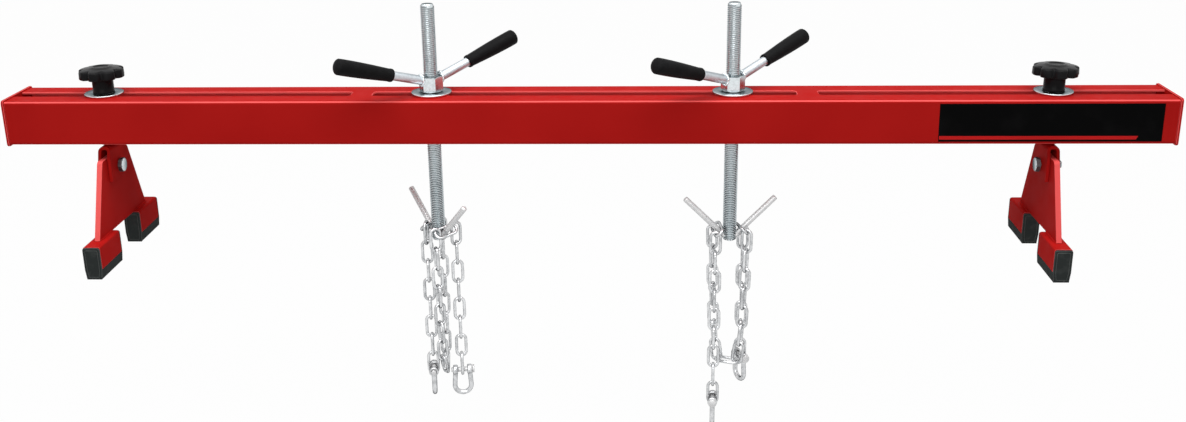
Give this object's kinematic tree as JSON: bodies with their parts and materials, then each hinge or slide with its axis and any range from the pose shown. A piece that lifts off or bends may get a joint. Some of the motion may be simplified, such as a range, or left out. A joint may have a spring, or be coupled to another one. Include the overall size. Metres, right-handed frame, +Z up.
{
  "type": "engine support bar",
  "caption": "Slotted box beam on sliding, rocking feet, which rests across an engine bay; threaded spindles with handled nuts pass through it and carry hook pins, chains and shackles.",
  "frame": {"origin": "in the plane of the four soles, under the middle of the beam", "axes": "+X along the beam toward the end with the label, +Y away from the viewer of the picture, +Z up"},
  "size_m": [1.5, 0.203, 0.591],
  "materials": {
    "red_paint": "gloss red powder coat",
    "zinc": "bright zinc plate",
    "bright_steel": "bright plated bar",
    "black_plastic": "satin moulded plastic",
    "black_rubber": "dull black rubber"
  },
  "bodies": {
    "bar": {"bar_tube": "red_paint", "left_end_plate": "red_paint", "right_end_plate": "red_paint"},
    "left_foot_slider": {"left_knob_washer": "zinc"},
    "left_knob": {"left_star_knob": "black_plastic"},
    "left_foot_bracket": {"left_stud": "zinc", "left_spacer": "red_paint", "left_bracket": "red_paint", "left_pivot_bolt": "zinc", "left_pivot_nut": "zinc"},
    "left_foot": {"left_foot_plate": "red_paint", "left_front_shoe": "red_paint", "left_rear_shoe": "red_paint", "left_front_pad": "black_rubber", "left_rear_pad": "black_rubber"},
    "right_foot_slider": {"right_knob_washer": "zinc"},
    "right_knob": {"right_star_knob": "black_plastic"},
    "right_foot_bracket": {"right_stud": "zinc", "right_spacer": "red_paint", "right_bracket": "red_paint", "right_pivot_bolt": "zinc", "right_pivot_nut": "zinc"},
    "right_foot": {"right_foot_plate": "red_paint", "right_front_shoe": "red_paint", "right_rear_shoe": "red_paint", "right_front_pad": "black_rubber", "right_rear_pad": "black_rubber"},
    "left_carriage": {"left_spindle_washer": "zinc"},
    "left_nut": {"left_spindle_nut": "zinc", "left_near_grip": "black_rubber", "left_far_grip": "black_rubber"},
    "left_rod": {"left_threaded_rod": "zinc", "left_hook_pin_a": "bright_steel", "left_hook_pin_b": "bright_steel", "left_saddle_link_a": "zinc", "left_saddle_link_b": "zinc"},
    "left_loop": {"left_chain_loop": "zinc"},
    "left_drop_a": {"left_chain_drop_a": "zinc"},
    "left_shackle_a": {"left_shackle_a": "zinc", "left_shackle_pin_a": "bright_steel"},
    "left_drop_b": {"left_chain_drop_b": "zinc"},
    "left_shackle_b": {"left_shackle_b": "zinc", "left_shackle_pin_b": "bright_steel"},
    "right_carriage": {"right_spindle_washer": "zinc"},
    "right_nut": {"right_spindle_nut": "zinc", "right_near_grip": "black_rubber", "right_far_grip": "black_rubber"},
    "right_rod": {"right_threaded_rod": "zinc", "right_hook_pin_a": "bright_steel", "right_hook_pin_b": "bright_steel", "right_saddle_link_a": "zinc", "right_saddle_link_b": "zinc"},
    "right_loop": {"right_chain_loop": "zinc"},
    "right_drop_a": {"right_chain_drop_a": "zinc"},
    "right_shackle_a": {"right_shackle_a": "zinc", "right_shackle_pin_a": "bright_steel"},
    "right_drop_b": {"right_chain_drop_b": "zinc"},
    "right_shackle_b": {"right_shackle_b": "zinc", "right_shackle_pin_b": "bright_steel"}
  },
  "joints": [
    {"name": "left_foot_slide", "type": "slide", "parent": "bar", "child": "left_foot_slider", "axis": [1, 0, 0], "range_m": [-0.088, 0.321]},
    {"name": "left_knob_spin", "type": "hinge", "parent": "left_foot_slider", "child": "left_knob", "pos_m": [-0.631, 0, 0.2425], "axis": [0, 0, 1], "range_deg": [0, 720]},
    {"name": "left_foot_swivel", "type": "hinge", "parent": "left_foot_slider", "child": "left_foot_bracket", "pos_m": [-0.631, 0, 0.161], "axis": [0, 0, 1], "range_deg": [-90, 90]},
    {"name": "left_foot_tilt", "type": "hinge", "parent": "left_foot_bracket", "child": "left_foot", "pos_m": [-0.631, 0, 0.124], "axis": [1, 0, 0], "range_deg": [-20, 20]},
    {"name": "right_foot_slide", "type": "slide", "parent": "bar", "child": "right_foot_slider", "axis": [1, 0, 0], "range_m": [-0.292, 0.117]},
    {"name": "right_knob_spin", "type": "hinge", "parent": "right_foot_slider", "child": "right_knob", "pos_m": [0.602, 0, 0.2425], "axis": [0, 0, 1], "range_deg": [0, 720]},
    {"name": "right_foot_swivel", "type": "hinge", "parent": "right_foot_slider", "child": "right_foot_bracket", "pos_m": [0.602, 0, 0.161], "axis": [0, 0, 1], "range_deg": [-90, 90]},
    {"name": "right_foot_tilt", "type": "hinge", "parent": "right_foot_bracket", "child": "right_foot", "pos_m": [0.602, 0, 0.124], "axis": [1, 0, 0], "range_deg": [-20, 20]},
    {"name": "left_carriage_slide", "type": "slide", "parent": "bar", "child": "left_carriage", "axis": [1, 0, 0], "range_m": [-0.062, 0.2]},
    {"name": "left_nut_spin", "type": "hinge", "parent": "left_carriage", "child": "left_nut", "pos_m": [-0.198, 0, 0.2346], "axis": [0, 0, 1], "range_deg": [-10080, 11520]},
    {"name": "left_rod_lift", "type": "slide", "parent": "left_carriage", "child": "left_rod", "axis": [0, 0, 1], "range_m": [-0.08, 0.07]},
    {"name": "left_loop_swing", "type": "hinge", "parent": "left_rod", "child": "left_loop", "pos_m": [-0.19862, 0.00063, 0.03485], "axis": [-0.0471, -0.9977, -0.0496], "range_deg": [-0.3, 0.5]},
    {"name": "left_drop_a_swing", "type": "hinge", "parent": "left_rod", "child": "left_drop_a", "pos_m": [-0.21492, 0.00045, 0.03653], "axis": [-0.9976, 0.0698, 0], "range_deg": [0, 35]},
    {"name": "left_shackle_a_swing", "type": "hinge", "parent": "left_drop_a", "child": "left_shackle_a", "pos_m": [-0.21492, 0.00045, -0.17577], "axis": [-0.1392, 0.9903, 0], "range_deg": [-35, 60]},
    {"name": "left_drop_b_swing", "type": "hinge", "parent": "left_rod", "child": "left_drop_b", "pos_m": [-0.17438, -0.00223, 0.03617], "axis": [0.6018, -0.7986, 0], "range_deg": [0, 40]},
    {"name": "left_shackle_b_swing", "type": "hinge", "parent": "left_drop_b", "child": "left_shackle_b", "pos_m": [-0.17438, -0.00223, -0.17563], "axis": [0.9848, 0.1736, 0], "range_deg": [-60, 60]},
    {"name": "right_carriage_slide", "type": "slide", "parent": "bar", "child": "right_carriage", "axis": [1, 0, 0], "range_m": [-0.2, 0.062]},
    {"name": "right_nut_spin", "type": "hinge", "parent": "right_carriage", "child": "right_nut", "pos_m": [0.193, 0, 0.2346], "axis": [0, 0, 1], "range_deg": [-10080, 11520]},
    {"name": "right_rod_lift", "type": "slide", "parent": "right_carriage", "child": "right_rod", "axis": [0, 0, 1], "range_m": [-0.08, 0.07]},
    {"name": "right_loop_swing", "type": "hinge", "parent": "right_rod", "child": "right_loop", "pos_m": [0.193, 0, 0.03003], "axis": [0.9367, -0.3503, 0], "range_deg": [-0.6, 0.05]},
    {"name": "right_drop_a_swing", "type": "hinge", "parent": "right_rod", "child": "right_drop_a", "pos_m": [0.17388, -0.01183, 0.02803], "axis": [0, 1, 0], "range_deg": [0, 40]},
    {"name": "right_shackle_a_swing", "type": "hinge", "parent": "right_drop_a", "child": "right_shackle_a", "pos_m": [0.17388, -0.01183, -0.21337], "axis": [-0.0698, -0.9976, 0], "range_deg": [-60, 60]},
    {"name": "right_drop_b_swing", "type": "hinge", "parent": "right_rod", "child": "right_drop_b", "pos_m": [0.21212, 0.01183, 0.02803], "axis": [0, -1, 0], "range_deg": [0, 40]},
    {"name": "right_shackle_b_swing", "type": "hinge", "parent": "right_drop_b", "child": "right_shackle_b", "pos_m": [0.21212, 0.01183, -0.15817], "axis": [0.454, -0.891, 0], "range_deg": [-20, 60]}
  ],
  "couplings": [
    {"joint": "left_rod_lift", "follows": "left_nut_spin", "m_per_rad": -0.00039789},
    {"joint": "right_rod_lift", "follows": "right_nut_spin", "m_per_rad": -0.00039789}
  ]
}
